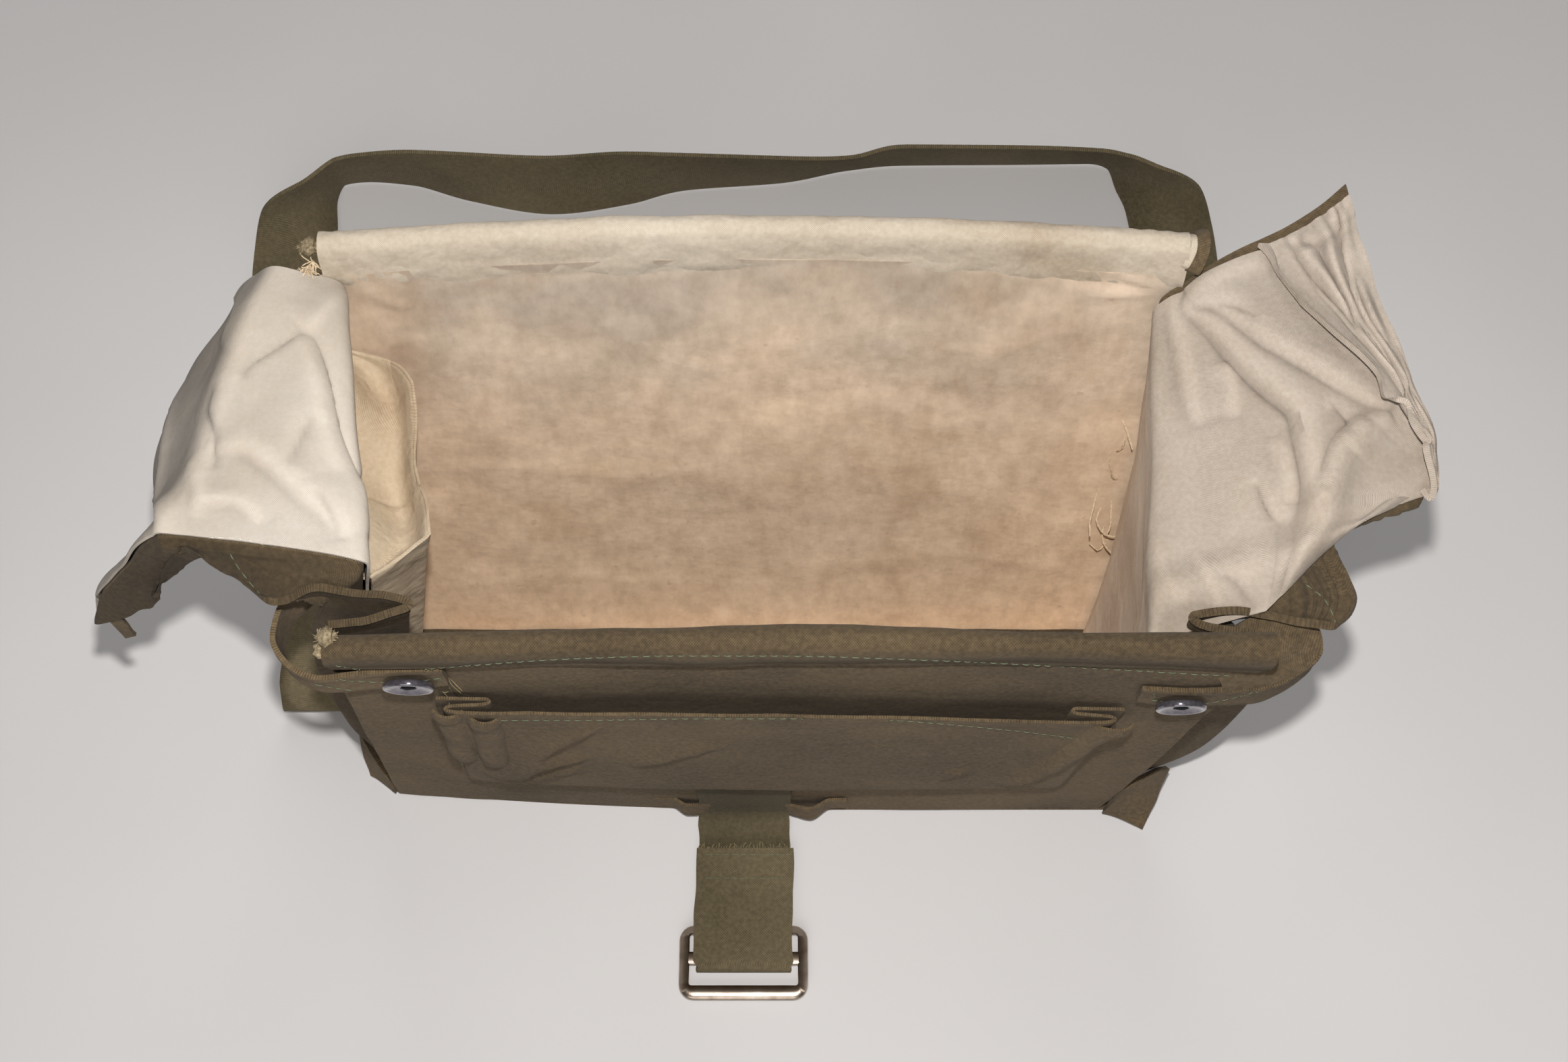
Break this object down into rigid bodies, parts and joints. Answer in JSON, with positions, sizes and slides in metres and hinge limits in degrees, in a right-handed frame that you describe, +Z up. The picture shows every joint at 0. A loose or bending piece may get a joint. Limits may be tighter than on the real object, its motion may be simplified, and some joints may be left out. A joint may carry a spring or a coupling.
{
  "type": "first aid bag",
  "caption": "Open canvas first aid shoulder bag with a lined inside, side flaps, a pleated front pocket, corner snaps, a carrying strap and a closing strap with a slide buckle.",
  "frame": {"origin": "on the floor under the middle of the base, between the left and right walls", "axes": "+X to the right seen from the front, +Y to the back, +Z up"},
  "size_m": [0.4555, 0.4013, 0.2439],
  "materials": {
    "canvas": "matte woven",
    "lining": "matte woven, stained",
    "cotton": "matte woven",
    "rope": "rough",
    "steel": "worn satin",
    "snap": "gloss enamel"
  },
  "bodies": {
    "root": {"base_panel": "canvas", "base_lining": "lining", "front_panel": "canvas", "front_rope": "rope", "back_panel": "canvas", "back_lining": "lining", "back_rope": "rope", "lid_canvas": "canvas", "lid_lining": "cotton", "left_side": "canvas", "right_side": "canvas", "left_side_lining": "cotton", "right_side_lining": "cotton", "right_flap_pocket": "cotton", "inner_pocket": "lining", "front_pocket": "canvas", "left_corner_tab": "canvas", "right_corner_tab": "canvas", "left_snap": "snap", "right_snap": "snap", "left_corner_ear": "canvas", "right_corner_ear": "canvas", "strap_keeper": "canvas", "closing_strap": "canvas", "buckle": "steel", "shoulder_strap": "canvas", "flap_tab": "canvas"}
  },
  "joints": []
}
